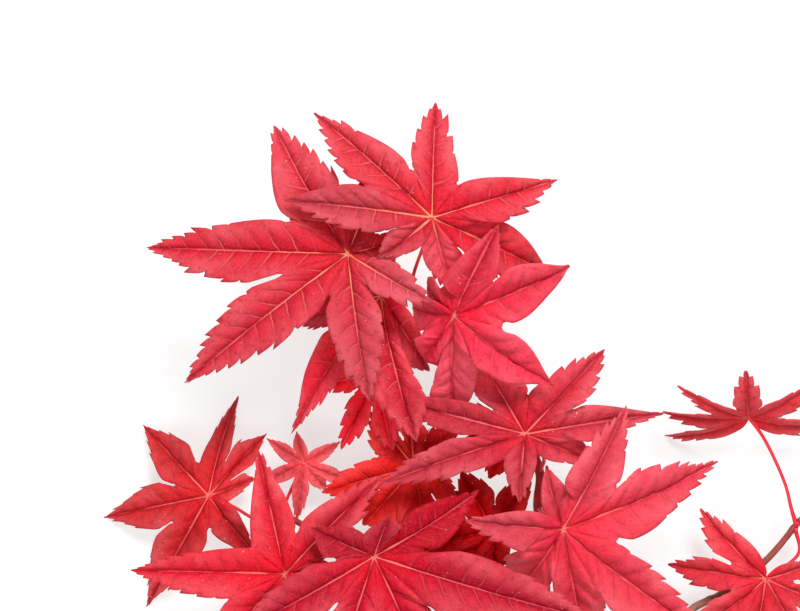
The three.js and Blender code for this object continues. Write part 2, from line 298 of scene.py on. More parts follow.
class Finish:
    """A material under construction: one Principled shader and the nodes that feed it."""

    def __init__(self, name):
        self.material = bpy.data.materials.new(name)
        self.material.use_nodes = True
        self.tree = self.material.node_tree
        self.shader = self.tree.nodes["Principled BSDF"]

    def node(self, kind, settings=None, sockets=None):
        return new_node(self.tree, kind, settings, sockets)

    def read(self, kind, settings=None, sockets=None, output=0):
        return Reading(self, self.node(kind, settings, sockets).outputs[output])

    def set(self, **sockets):
        for key, value in sockets.items():
            feed(self.shader.inputs[key.replace("_", " ")], value)

    def step(self, value, low, high):
        """0 below low, 1 above high, and a smooth slope between; reversed when low > high."""
        settings = {"interpolation_type": "SMOOTHSTEP", "clamp": True}
        ends = {"From Min": min(low, high), "From Max": max(low, high)}
        if low > high:
            ends.update({"To Min": 1.0, "To Max": 0.0})
        return self.read("ShaderNodeMapRange", settings, {"Value": value, **ends})

    def along(self):
        """How far along its rod a place is, from 0 to 1."""
        return self.read("ShaderNodeAttribute", {"attribute_name": "along"}, {}, "Fac")

    def place(self):
        return self.node("ShaderNodeTexCoord").outputs["Object"]

    def blend(self, share, first, second):
        """From the first colour to the second by a share."""
        mix = self.node("ShaderNodeMix", {"data_type": "RGBA"}, {0: share, 6: first, 7: second})
        return mix.outputs[2]

    def grain(self, scale, detail=3.0, roughness=0.55, vector=None):
        """Noise with a number of features a metre, from 0 to 1."""
        sockets = {"Vector": vector or self.place(), "Scale": scale, "Detail": detail,
                   "Roughness": roughness}
        return self.read("ShaderNodeTexNoise", {}, sockets)

    def relief(self, strength, depth, height):
        """The normal of a skin whose height, from 0 to 1, is a depth in metres."""
        sockets = {"Strength": strength, "Distance": depth, "Height": height}
        return self.node("ShaderNodeBump", {}, sockets).outputs[0]


NEW_WOOD = (0.42, 0.012, 0.018)
NEW_WOOD_DARK = (0.24, 0.008, 0.012)
OLD_WOOD = (0.27, 0.165, 0.11)
OLD_WOOD_FLUSH = (0.3, 0.11, 0.075)
CRACKS = (0.08, 0.045, 0.033)


def shade(colour, times, lift=0.0):
    """The same colour darker or lighter, at most white."""
    return tuple(min(c * times + lift, 1) for c in colour)


def bark_finish(name, red_from, red_to):
    """Thin bark, grey brown on old wood and deep red on new, finely cracked along its length."""
    finish = Finish(name)
    blend, step = finish.blend, finish.step
    new_wood = step(finish.along(), red_from, red_to)
    patches = finish.grain(260, 4.0, 0.6)
    fine = finish.grain(2400, 3.0, 0.6)
    stretched = finish.node("ShaderNodeMapping", {}, {
        "Vector": finish.place(), "Scale": (1.0, 0.22, 1.0), "Rotation": (0, 0, 0.65),
    })
    streaks = finish.grain(1900, 2.0, 0.5, stretched.outputs[0])
    tint = blend(step(patches, 0.4, 0.65), OLD_WOOD, OLD_WOOD_FLUSH)
    tint = blend(step(streaks, 0.56, 0.72) * 0.65, tint, CRACKS)
    tint = blend(step(fine, 0.6, 0.75) * 0.5, tint, shade(OLD_WOOD, 1.7))
    red_skin = blend(step(patches, 0.35, 0.7), NEW_WOOD, NEW_WOOD_DARK)
    red_skin = blend(step(streaks, 0.55, 0.75) * 0.4, red_skin, CRACKS)
    finish.set(Base_Color=blend(new_wood, tint, red_skin), Roughness=0.5 + patches * 0.25,
               Normal=finish.relief(0.55, 0.0003, streaks * 0.6 + fine * 0.4))
    return finish.material


def bark_radius(limb, seed):
    """A limb's radius by share of its length and angle: tapering, ridged, swollen at its joints."""
    start, end = limb["radii"]

    def radius_at(share, angle):
        radius = start + (end - start) * share
        from_joints = [share - joint for joint in limb["joints"]]
        swelling = sum(math.exp(-(away / JOINT_LENGTH) ** 2) for away in from_joints)
        rings = sum(math.exp(-((away + RING_BEFORE_JOINT) / RING_LENGTH) ** 2)
                    for away in from_joints)
        place = Vector((math.cos(angle) * 1.5, math.sin(angle) * 1.5, share * 40 + seed * 9))
        relief = sum(noise.noise(place * close) * height for close, height in BARK_WAVES)
        return radius * (0.93 + relief * 0.8 + swelling * JOINT_SWELLING - rings * RING_DEPTH)

    return radius_at


def course_length(points):
    return sum((Vector(b) - Vector(a)).length for a, b in zip(points, points[1:]))


for seed, (limb_name, limb) in enumerate(LIMBS.items()):
    steps = round(course_length(limb["points"]) / BARK_STEP)
    limb["course"] = smooth_course(limb["points"], steps)
    mesh = rod(limb_name + "_bark", limb["course"], bark_radius(limb, seed), BARK_SIDES)
    mesh.materials.append(bark_finish(limb_name + "_bark", *limb["reddens"]))
    bark = add_object(limb_name + "_bark", mesh)
    limb["bark"] = bark
    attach(bark, "root")
    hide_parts(limb_name)

# -----------------------------------------------------------------------------
# The cut end of the stem: pale fresh wood with growth rings round a small darker pith, flush with
# the bark, which shows as a thin dark line round it.
CUT_RADIUS = 2.05
CUT_DEPTH = 0.4
CUT_PROUD = 0.02  # mm beyond the bark
CUT_SIDES = 32
RING_WAVER = 0.0004  # m
RING_CLOSENESS = 13000  # radians a metre

cut_wood = Finish("cut_wood")
from_pith = cut_wood.read("ShaderNodeVectorMath", {"operation": "LENGTH"},
                          {0: cut_wood.place()}, "Value")
rings = (from_pith + cut_wood.grain(900) * RING_WAVER) * RING_CLOSENESS
cut_tint = cut_wood.blend(cut_wood.step(rings.put_through("SINE"), -0.2, 1.0),
                          (0.62, 0.42, 0.24), (0.45, 0.26, 0.13))
cut_tint = cut_wood.blend(cut_wood.step(from_pith, 0.0005, 0.0002), cut_tint, (0.2, 0.1, 0.05))
cut_wood.set(Base_Color=cut_tint, Roughness=0.75 + cut_wood.grain(3000) * 0.1)

course = [Vector((0, CUT_DEPTH, 0)), Vector((0, -CUT_PROUD, 0))]
mesh = rod("main_stem_cut", course, lambda share, angle: CUT_RADIUS, CUT_SIDES)
mesh.materials.append(cut_wood.material)
cut_end = add_object("main_stem_cut", mesh)
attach(cut_end, "root")
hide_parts("main_stem")

# -----------------------------------------------------------------------------
# Lenticels: the small pale corky spots that stand out of the bark of the older wood, scattered at
# random and lying flat on it.
LENTICELS = {
    # limb: how many on a square metre of bark, random seed
    "main_stem": (36000, 3),
    "low_shoot": (30000, 8),
    "right_shoot": (30000, 5),
}
LENTICEL_SIZE = 0.2 * MM

cork = Finish("cork")
cork.set(Base_Color=cork.blend(cork.grain(5000), (0.5, 0.36, 0.25), (0.32, 0.2, 0.13)),
         Roughness=0.85)

spots = bpy.data.node_groups.new("lenticels", "GeometryNodeTree")
spots.interface.new_socket("Spots", in_out="OUTPUT", socket_type="NodeSocketGeometry")
for label, kind in (("Bark", "Geometry"), ("Density", "Float"), ("Size", "Float"),
                    ("Seed", "Int"), ("Finish", "Material")):
    spots.interface.new_socket(label, in_out="INPUT", socket_type="NodeSocket" + kind)

given = new_node(spots, "NodeGroupInput").outputs
scattered = new_node(spots, "GeometryNodeDistributePointsOnFaces", {}, {
    "Mesh": given["Bark"], "Density": given["Density"], "Seed": given["Seed"],
}).outputs
grain = new_node(spots, "GeometryNodeMeshIcoSphere", {}, {
    "Radius": given["Size"], "Subdivisions": 2,
})
spread = new_node(spots, "FunctionNodeRandomValue", {"data_type": "FLOAT_VECTOR"}, {
    "Seed": given["Seed"], "Min": (0.6, 0.5, 0.3), "Max": (1.5, 0.9, 0.5),
})
placed = new_node(spots, "GeometryNodeInstanceOnPoints", {}, {
    "Points": scattered["Points"], "Instance": grain.outputs["Mesh"],
    "Rotation": scattered["Rotation"], "Scale": spread.outputs["Value"],
})
solid = new_node(spots, "GeometryNodeRealizeInstances", {}, {0: placed.outputs["Instances"]})
painted = new_node(spots, "GeometryNodeSetMaterial", {}, {
    "Geometry": solid.outputs["Geometry"], "Material": given["Finish"],
})
new_node(spots, "NodeGroupOutput", {}, {"Spots": painted.outputs["Geometry"]})
spot_inputs = {item.name: item.identifier for item in spots.interface.items_tree
               if item.in_out == "INPUT"}

for limb_name, (density, seed) in LENTICELS.items():
    source = add_object(limb_name + "_lenticels", LIMBS[limb_name]["bark"].data.copy())
    scatter = source.modifiers.new("scatter", "NODES")
    scatter.node_group = spots
    scatter[spot_inputs["Density"]] = float(density)
    scatter[spot_inputs["Size"]] = LENTICEL_SIZE
    scatter[spot_inputs["Seed"]] = seed
    scatter[spot_inputs["Finish"]] = cork.material
    depsgraph = bpy.context.evaluated_depsgraph_get()
    mesh = bpy.data.meshes.new_from_object(source.evaluated_get(depsgraph))
    source.modifiers.clear()
    source.data = mesh
    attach(source, "root")
    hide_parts(limb_name)

# -----------------------------------------------------------------------------
# Buds: pointed, dark red, of overlapping scales with pale edges. One sits at each limb's tip and
# one at the nodes that have no shoot.
BUDS = [
    # limb, share of its length, direction, length and radius in mm
    ("main_stem", 0.555, (3, -0.5, 2), 6, 1.7),
    ("main_stem", 0.99, (-3, 2, -1), 5, 1.5),
    ("left_shoot", 0.4, (-2, 3, 0.5), 5, 1.5),
    ("left_shoot", 0.98, (-3, 0, 1), 5, 1.4),
    ("low_shoot", 0.99, (-3, 2, 0.5), 5, 1.4),
    ("right_shoot", 0.98, (2, 2, 1), 5, 1.4),
]
BUD_PROFILE = ([0, 0.1, 0.35, 0.65, 0.85, 1], [0.45, 0.75, 1, 0.72, 0.34, 0.03])
BUD_SIDES = 20
BUD_STEPS = 28
BUD_CORE = 0.9  # of the radius, under the scales
SCALE_ROWS = 4
SCALE_LIFT = 0.14  # of the radius

bud_skin = Finish("bud_scales")
bud_step = (bud_skin.along() * SCALE_ROWS).put_through("FRACT")
bud_tint = bud_skin.blend(bud_skin.grain(1800), (0.36, 0.03, 0.022), (0.2, 0.012, 0.012))
bud_tint = bud_skin.blend(bud_skin.step(bud_step, 0.72, 0.98), bud_tint, (0.75, 0.3, 0.16))
bud_skin.set(Base_Color=bud_tint, Roughness=0.45 + bud_skin.grain(2600) * 0.2)


def scale_edge(share, angle):
    """How far through its scale a place is; the scales of each row sit between the last row's."""
    return (share * SCALE_ROWS + 0.5 * math.cos(2 * angle) ** 2) % 1


for number, (limb_name, share, direction, length, radius) in enumerate(BUDS):
    limb = LIMBS[limb_name]
    base = limb["course"][round(share * (len(limb["course"]) - 1))]
    way = Vector(direction).normalized()
    course = [base + way * (length * step / BUD_STEPS) for step in range(BUD_STEPS + 1)]

    def bud_radius(place, angle):
        outline = radius * float(np.interp(place, *BUD_PROFILE))
        return outline * (BUD_CORE + SCALE_LIFT * (1 - scale_edge(place, angle)))

    bud_name = f"{limb_name}_bud_{number + 1}"
    mesh = rod(bud_name, course, bud_radius, BUD_SIDES)
    mesh.materials.append(bud_skin.material)
    bud = add_object(bud_name, mesh)
    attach(bud, "root")
    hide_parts(limb_name)

# -----------------------------------------------------------------------------
# Leaf stalks: round red stalks, a little flattened, that swell into a foot where they sit on the
# wood and into a small knuckle under the heart of the blade.
REST = None  # in place of a rise: the lobe's tip lies on the table
LEAVES = [
    # name, slot, heart, lobes in turn (bearing, reach in plan, rise), course of the stalk
    ("leaf_top", "leaf_red", (-83, 176, 84),
     [(287, 23, -24), (336, 41, -26), (17, 41, -8), (88, 36, -8), (138, 49, -10), (173, 46, -6),
      (217, 21, -8)],
     [(-85, 169, 74), (-89, 156, 58), (-88, 147, 49), (-87.5, 137, 40)]),
    ("leaf_left", "leaf_red", (-109, 165, 72),
     [(68, 29, -4), (120, 47, -8), (178, 64, -10), (218, 66, -12), (278, 47, -10), (330, 30, 2),
      (16, 18, -8)],
     [(-104, 167, 68), (-98, 162.5, 63), (-94, 154, 54), (-92, 146, 46), (-90.5, 139.5, 40)]),
    ("leaf_hanging", "leaf_red", (-99, 152, 50),
     [(95, 16, REST), (160, 24, -36), (199, 28, -15), (237, 53, -9), (284, 48, 6), (303, 29, -3)],
     [(-96, 148, 47), (-92, 139, 44.5), (-85, 134.8, 40)]),
    ("leaf_centre", "leaf_red", (-76, 146, 74),
     [(169, 13, -14), (238, 17, -16), (273, 33, -38), (325, 38, -6), (23, 39, 2), (64, 31, 8),
      (129, 13, -17)],
     [(-78, 147, 68), (-80, 143, 56), (-80, 136, 46), (-79, 130, 40)]),
    ("leaf_inner_bright", "leaf_orange", (-100, 127, 41),
     [(90, 12, -4), (140, 14, -4), (192, 19, -6), (244, 28, -10), (281, 26, -5), (319, 15, -4)],
     [(-94, 129, 39), (-86, 131, 38.5), (-80, 130, 40)]),
    ("leaf_right", "leaf_red", (-53, 108, 56),
     [(337, 24, -10), (8, 46, -6), (47, 37, 2), (120, 29, -10), (166, 50, -11), (200, 50, -12),
      (266, 22, -2)],
     [(-49, 103, 50), (-46, 99, 41), (-47, 95, 34)]),
    ("leaf_inner_small", "leaf_deep", (-56, 111, 46),
     [(128, 17, -4), (165, 16, -4), (206, 16, -6), (247, 20, -8), (286, 15, -4)],
     [(-58, 113, 43), (-60, 115, 39)]),
    ("leaf_inner_mid", "leaf_orange", (-88, 96, 32),
     [(42, 19, -2), (94, 16, -1), (129, 23, -2), (196, 32, -6), (229, 26, -6), (280, 21, -6),
      (326, 17, -4)],
     [(-83, 98, 31), (-74, 103, 33), (-60, 115, 38)]),
    ("leaf_low_right", "leaf_red", (-41, 78, 58),
     [(176, 31, -4), (239, 25, -20), (283, 46, -22), (324, 61, -8), (23, 54, -4), (63, 44, 3),
      (104, 20, -10)],
     [(-43, 79, 50), (-46, 81, 40), (-47, 82, 30)]),
    ("leaf_inner_dark", "leaf_deep", (-62, 75, 31),
     [(54, 22, -4), (119, 22, -5), (193, 24, -4), (226, 16, -3), (271, 15, -3)],
     [(-57, 76, 30), (-51, 78, 29), (-46, 80, 28)]),
    ("leaf_front", "leaf_red", (-101, 69, 56),
     [(156, 22, -4), (209, 52, -6), (252, 48, -8), (295, 50, -8), (344, 75, 1), (31, 39, -8),
      (70, 14, 2)],
     [(-102, 71, 49), (-99, 68, 41), (-95, 64, 36.5), (-90, 59.2, 33)]),
    ("leaf_low_left", "leaf_red", (-130, 62, 42),
     [(0, 16, -6), (45, 45, -4), (103, 41, -6), (180, 51, -10), (229, 46, -10), (272, 39, -10),
      (315, 18, -8)],
     [(-122, 59, 37), (-109, 55, 34), (-98, 54, 32), (-92, 59, 33.5)]),
    ("leaf_back_left", "leaf_red", (-157, 85, 13),
     [(19, 17, -4), (47, 28, -8), (75, 34, REST), (135, 33, -12), (193, 38, REST), (240, 45, REST),
      (307, 28, -8)],
     [(-149, 81, 9), (-140, 76.5, 9), (-134, 79.7, 10)]),
    ("leaf_back_small", "leaf_orange", (-125, 96, 17),
     [(262, 20, -9), (310, 12, -6), (338, 18, -6), (30, 14, -4), (103, 11, -2), (147, 15, -4),
      (206, 18, -8)],
     [(-128, 90, 13), (-133, 79, 10)]),
    ("leaf_far_right", "leaf_red", (23, 112, 22),
     [(355, 31, -10), (30, 23, 14), (103, 16, 20), (157, 27, 12), (177, 28, -4), (197, 26, REST)],
     [(29, 104, 18), (36, 89, 17), (38, 81, 17), (40, 75, 15.7)]),
    ("leaf_far_low", "leaf_red", (29, 58, 20),
     [(133, 31, -6), (173, 32, -8), (218, 36, -12), (261, 40, REST), (302, 39, -20), (338, 31, -14),
      (16, 18, -8)],
     [(34, 60, 15), (41, 66, 14), (39.5, 74.5, 15.3)]),
]
STALK_SIDES = 12
STALK_STEP = 1.2  # mm along the stalk
STALK_RADIUS = 0.62  # mm, halfway
STALK_FOOT = 0.5  # mm more, at the wood
STALK_KNUCKLE = 0.25  # mm more, at the blade
STALK_FLATNESS = 0.08

# smooth, waxy red skin with faint streaks and a few pale specks; lighter near the blade as painted
# light and darker towards the wood as painted shade, where the leaves above shade the stalks
stalk_skin = Finish("stalk_red")
streaks = stalk_skin.grain(900, 2.0)
# painted shade: more of it from the blade towards the wood
painted_shade_to_wood = stalk_skin.step(stalk_skin.along() + streaks * 0.3, 0.1, 0.7)
stalk_tint = stalk_skin.blend(painted_shade_to_wood, (1.0, 0.03, 0.05), (0.8, 0.01, 0.035))
specks = stalk_skin.step(stalk_skin.grain(2600), 0.6, 0.78)
stalk_tint = stalk_skin.blend(specks * 0.35, stalk_tint, (0.7, 0.25, 0.18))
stalk_skin.set(Base_Color=stalk_tint, Roughness=0.36 + streaks * 0.15,
               Normal=stalk_skin.relief(0.3, 0.0001, streaks))


def stalk_radius(share, angle):
    foot = STALK_FOOT * share**12
    knuckle = STALK_KNUCKLE * (1 - share) ** 10
    return (STALK_RADIUS + foot + knuckle) * (1 - STALK_FLATNESS * math.cos(2 * angle))


for leaf_name, slot, heart, _, stalk_course in LEAVES:
    points = [heart, *stalk_course]
    course = smooth_course(points, max(10, round(course_length(points) / STALK_STEP)))
    mesh = rod(leaf_name + "_stalk", course, stalk_radius, STALK_SIDES)
    mesh.materials.append(stalk_skin.material)
    stalk = add_object(leaf_name + "_stalk", mesh)
    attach(stalk, "root")
    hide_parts(leaf_name)

# -----------------------------------------------------------------------------
# Leaf blades: thin, five- to seven-lobed, folded up a little at the notches. The margin is whole
# near a notch and saw-toothed from there to the tip, with teeth that point forward and shrink.
# The skin is quilted up between side veins, and the ribs lie sunken in it and stand out below.
BLADE_THICKNESS = 0.26  # mm
NOTCH_SHARE = 0.34  # from the heart to a notch, of the mean length of its two lobes
USUAL_SPREAD = math.radians(22.5)  # half of the angle between two lobes
HALF_WIDTH = 0.158  # of the lobe's length
SHOULDER = 0.7  # the smaller, the rounder a lobe is below its widest place
USUAL_TAIL = 1.25  # the larger, the longer the thin tip is
ARCH = 0.05  # rise of the rib's middle, of its length
SWAY = 0.014  # of the rib's length
TWIST = 0.3
PLEAT = 0.3  # rise from rib to margin, of the half width
CROWDING = 0.95  # of the room up to the next lobe
TIP_LIFT = 0.05  # mm over the table
INNER_ROWS = 8
ENTIRE_ROWS = 4
WHOLE = (0.12, 0.45)  # share of the margin beyond the notch that has no teeth
TOOTH_PITCH = 4.3  # mm, mean
TOOTH_RATIO = 0.87  # from each tooth to the next one towards the tip
TOOTH_HEIGHT = 0.52  # of its pitch, times the lobe's taper
TAPERS = (0.22, 0.35)  # least and most that count
TAPER_REACH = 0.06  # of the margin, to each side of a tooth
PITCH_SPREAD = (0.78, 1.22)
TOOTH_SPREAD = (0.7, 1.25)
SAW = [(0.05, -1.0), (0.2, -0.3), (0.4, 0.25), (0.62, 0.62), (0.82, 0.84), (1.0, 1.0)]
OVERHANG = 0.24  # of a tooth's pitch
COLUMNS = [0.05, 0.2, 0.38, 0.56, 0.74, 0.89]  # shares of the way from the rib to the margin
VEIN_LEAN = 0.8  # how far forward a side vein reaches the margin, in half widths
VEIN_PITCH = 6.0  # mm along the rib
QUILTING = 0.5  # mm
DOME = 0.1  # of the half width
RIB_DEPTH = 0.45  # mm below the skin
RIB_REACH = 0.9  # mm to each side
USUAL_DULLNESS = 0.3
UNEVENNESS = ((9.0, 0.55), (3.2, 0.14))  # size and height of the skin's waves, mm
CRUMPLED = {"leaf_centre": 1.9, "leaf_low_right": 1.25, "leaf_right": 1.2}  # times as high
# How far each notch is from the heart in mm, where it isn't the usual share of its lobes, how much
# each lobe is dulled by age and darkened as painted shade where other leaves shade it (above 1 also
# towards a deep red), below 0 where it is paler, partly its own paleness and partly painted light
# where it faces away from the lamps, and how wide it is.
NOTCHES = {
    "leaf_top": (12, 14.5, 12.5, 15, 22, 11),
    "leaf_left": (None, 20, 21, 13.5, 11, None),
    "leaf_right": (14.5, 16, 12.5, 12, 14.5, 10),
    "leaf_low_right": (14, 20, 23, 17, 21.5, 12.5),
    "leaf_front": (None, None, None, 22, 17, 12),
    "leaf_low_left": (None, 13.5, 13.5, 19.5, None, None),
    "leaf_centre": (13, 14, 14.5, 15.5, 17, 11),
    "leaf_hanging": (None, None, None, 18, 20),
    "leaf_inner_mid": (9, 9, 12, 13, 19, 10),
    "leaf_inner_dark": (8, 9, 15, 10),
}
# the same numbers carry the dulling, the painted shade and the painted light of each lobe
DULLNESS_AND_PAINTED_LIGHT = {
    "leaf_top": (-0.9, 0.05, 0.15, 0.3, 0.35, 1.0, 0.7),
    "leaf_left": (1.9, 0.3, 0.1, 0.25, 0.7, 1.0, 1.9),
    "leaf_hanging": (0.8, 1.6, 1.6, 0.15, 0.75, 1.0),
    "leaf_centre": (0.9, 0.1, -1.2, -0.3, 0.7, 1.3, 1.2),
    "leaf_right": (0.7, 0.9, 0.5, 0.4, 1.5, 0.8, 0.9),
    "leaf_low_right": (1.0, 0.2, 0.4, 0.35, 0.4, 0.8, 1.3),
    "leaf_front": (1.5, 0.6, 0.3, 0.25, 0.6, 2.0, 1.4),
    "leaf_low_left": (1.2, 0.9, 0.45, 0.15, 0.4, 0.4, 0.5),
    "leaf_inner_mid": (1.6, 1.3, 1.0, 0.2, 0.5, 0.9, 0.2),
}
WIDTHS = {
    "leaf_top": (1, 1.15, 1, 1.05, 0.95, 0.92, 1),
    "leaf_left": (1, 1.2, 1.05, 1.05, 1.1, 0.95, 1),
    "leaf_hanging": (1, 1, 1, 0.85, 1.35, 0.9),
    "leaf_right": (1, 0.75, 1, 1.3, 0.68, 0.76, 1.05),
    "leaf_low_right": (1, 1.7, 1.1, 1.05, 1.12, 0.98, 0.8),
    "leaf_front": (1.2, 1, 1, 1, 1.05, 1, 1.35),
    "leaf_centre": (1.6, 1.4, 1.3, 1.45, 1.4, 1.15, 1.9),
    "leaf_inner_bright": (1, 1, 1.2, 1.1, 1.25, 1.5),
    "leaf_inner_mid": (1.7, 1.8, 1.5, 1.3, 1.6, 1.7, 1.5),
    "leaf_inner_dark": (1.6, 1.7, 1.9, 2.1, 2.1),
    "leaf_inner_small": (1.7,) * 5,
    "leaf_back_left": (1, 1, 0.6, 1.2, 1.2, 1.15, 1),
    "leaf_back_small": (0.9,) * 7,
    "leaf_far_right": (1, 1, 1, 0.55, 0.95, 0.8),
}
# How high the teeth of a leaf are, where that isn't 1.
TEETH = {"leaf_back_left": 0.1, "leaf_back_small": 0.3, "leaf_inner_dark": 0.4,
         "leaf_inner_small": 0.4, "leaf_centre": 0.35, "leaf_left": 1.15, "leaf_top": 1.05,
         "leaf_low_right": 1.2, "leaf_hanging": 1.1, "leaf_right": 1.1}
# The tails of single lobes.
TAILS = {
    "leaf_top": {2: 1.5, 4: 1.5},
    "leaf_hanging": {3: 1.55},
    "leaf_right": {1: 2.1},
    "leaf_low_right": {4: 1.85, 5: 1.6},
    "leaf_low_left": {1: 1.4, 2: 1.5, 3: 1.0},
    "leaf_centre": {2: 1.0, 4: 1.05},
    "leaf_back_left": dict.fromkeys(range(7), 1.7),
}
# The toothless share of the margin of single lobes: towards the next lobe, towards the last one.
WHOLE_MARGINS = {
    "leaf_top": {0: (0.5, 0.4), 1: (0.9, 0.3), 2: (0.85, 0.3), 3: (0.3, 0.45), 4: (0.25, 0.6),
                 5: (0.25, 0.85), 6: (0.5, 0.6)},
    "leaf_left": {1: (0.75, 0.15), 2: (0.3, 0.45), 3: (0.25, 0.3), 4: (0.35, 0.5), 5: (0.6, 0.4)},
    "leaf_hanging": {3: (0.3, 0.8), 4: (0.25, 0.4), 5: (0.6, 0.6)},
    "leaf_centre": {0: (0.9, 0.9), 1: (0.9, 0.9), 2: (0.8, 0.5), 3: (0.9, 0.9), 4: (0.9, 0.85),
                    5: (0.7, 0.5), 6: (0.9, 0.9)},
    "leaf_right": {0: (0.6, 0.6), 1: (0.85, 0.6), 2: (0.3, 0.35), 3: (0.5, 0.4), 4: (0.4, 0.85),
                   5: (0.3, 0.5), 6: (0.6, 0.5)},
    "leaf_low_right": {0: (0.4, 0.7), 3: (0.2, 0.4), 4: (0.1, 0.5), 5: (0.45, 0.5), 6: (0.9, 0.8)},
    "leaf_front": {0: (0.9, 0.8), 4: (0.5, 0.3), 5: (0.8, 0.5), 6: (0.9, 0.9)},
    "leaf_low_left": {1: (0.5, 0.4), 2: (0.8, 0.7), 3: (0.25, 0.4)},
}


def lobe_span(heart, lobe):
    """From the heart to the tip of a lobe."""
    bearing, reach, rise = lobe
    angle = math.radians(bearing)
    height = TABLE_HEIGHT + TIP_LIFT - heart.z if rise is REST else rise
    return Vector((math.cos(angle) * reach, math.sin(angle) * reach, height))


class Lobe:
    """One lobe: its rib from the heart to the tip, and the directions across it and up from it."""

    def __init__(self, heart, face, span, chance):
        self.heart, self.span = heart, span
        self.length = span.length
        self.way = span.normalized()
        self.across = face.cross(self.way).normalized()
        self.up = self.way.cross(self.across)
        self.sway = chance.uniform(-SWAY, SWAY)
        self.twist = chance.uniform(-TWIST, TWIST)
        self.start = (self.rib(0.1) - heart).normalized()

    def rib(self, share):
        lift = ARCH * self.length * 4 * share * (1 - share)
        sway = self.sway * self.length * math.sin(math.pi * share)
        return self.heart + self.span * share + self.up * lift + self.across * sway


class Crease:
    """The fold from the heart to the notch between two lobes."""

    def __init__(self, lobe, after, away):
        self.half = lobe.start.angle(after.start) / 2
        if away is None:
            spread = math.sqrt(math.tan(USUAL_SPREAD) / math.tan(self.half))
            away = NOTCH_SHARE * min(spread, 1.1) * (lobe.length + after.length) / 2
        self.width = math.sin(self.half) * away
        self.notch = lobe.heart + (lobe.start + after.start).normalized() * away
        self.notch += lobe.across.cross(lobe.way) * (-self.width * PLEAT)
        self.row = [0]


def swell(share, tail):
    """How wide a lobe is along its rib, up to 1. The larger the tail, the longer the thin tip."""
    widest = SHOULDER / (SHOULDER + tail)
    most = widest**SHOULDER * (1 - widest) ** tail
    return share**SHOULDER * (1 - share) ** tail / most


def tooth_rows(teeth, whole, chance):
    """Rows of the margin from the notch (0) to the tip (1): place, tooth height and pitch."""
    start = chance.uniform(0.08, 0.14)
    pitches = [TOOTH_RATIO**tooth * chance.uniform(*PITCH_SPREAD) for tooth in range(teeth)]
    scale = (1 - start) / sum(pitches)
    rows = [(start * (row + 0.5) / ENTIRE_ROWS, 0.0, 0.0) for row in range(ENTIRE_ROWS)]
    for pitch in pitches:
        pitch *= scale
        size = chance.uniform(*TOOTH_SPREAD) * min(max((start + pitch - whole) / 0.1, 0), 1)
        rows += [(start + x * pitch, out * size, pitch) for x, out in SAW]
        start += pitch
    return rows


def side_rows(lobe, crease, widest, tail, teeth, whole, chance):
    """One side of a lobe, row by row: place along the rib, half width, tooth height, overhang."""
    start = (crease.notch - lobe.heart).dot(lobe.start) / lobe.length if crease else NOTCH_SHARE
    widest *= chance.uniform(0.94, 1.06)

    def width(share):
        along = start + (1 - start) * share
        if not crease:
            return swell(along, tail) * widest
        full = max(widest - 0.6 * crease.width, 0)
        room = along * lobe.length * math.tan(crease.half) * CROWDING
        return min(crease.width * (1 - share) + swell(share, tail) * full, room)

    rows = []
    for row in range(1, INNER_ROWS + 1):
        along = start * row / INNER_ROWS
        wide = crease.width * row / INNER_ROWS if crease else swell(along, tail) * widest
        rows.append((along, wide, 0.0, 0.0))
    for share, out, pitch in tooth_rows(teeth, whole, chance):
        share = min(share, 1.0)
        pitch_mm = pitch * (1 - start) * lobe.length
        before, after = width(max(share - TAPER_REACH, 0)), width(min(share + TAPER_REACH, 1))
        taper = (before - after) / (2 * TAPER_REACH * (1 - start) * lobe.length)
        height = TOOTH_HEIGHT * pitch_mm * min(max(taper, TAPERS[0]), TAPERS[1]) * out
        height *= min((1 - share) / 0.15, 1)
        overhang = OVERHANG * pitch_mm * max(out, 0) ** 3
        rows.append((start + (1 - start) * share, width(share), height, overhang))
    return rows


def rib_shares(lobe, sides):
    """Where each row starts on the rib, from which side veins lean forward to the margin."""
    shares = [0.0]
    for row, both in enumerate(list(zip(*sides))[:-1]):
        share = sum(along - VEIN_LEAN * width / lobe.length for along, width, _, _ in both) / 2
        if row < INNER_ROWS:
            share = max(share, 0.45 * both[0][0])
        shares.append(min(max(share, shares[-1] + 0.002), 0.995))
    return [*shares, 1.0]


def stitch(strips, sign):
    """The faces between strips of points that lie side by side; strips share their ends."""
    for inner, outer in zip(strips, strips[1:]):
        for ring in zip(inner, inner[1:], outer[1:], outer):
            ring = ring if sign > 0 else ring[::-1]
            ring = tuple(vert for k, vert in enumerate(ring) if vert not in ring[:k])
            if len(ring) > 2:
                yield ring


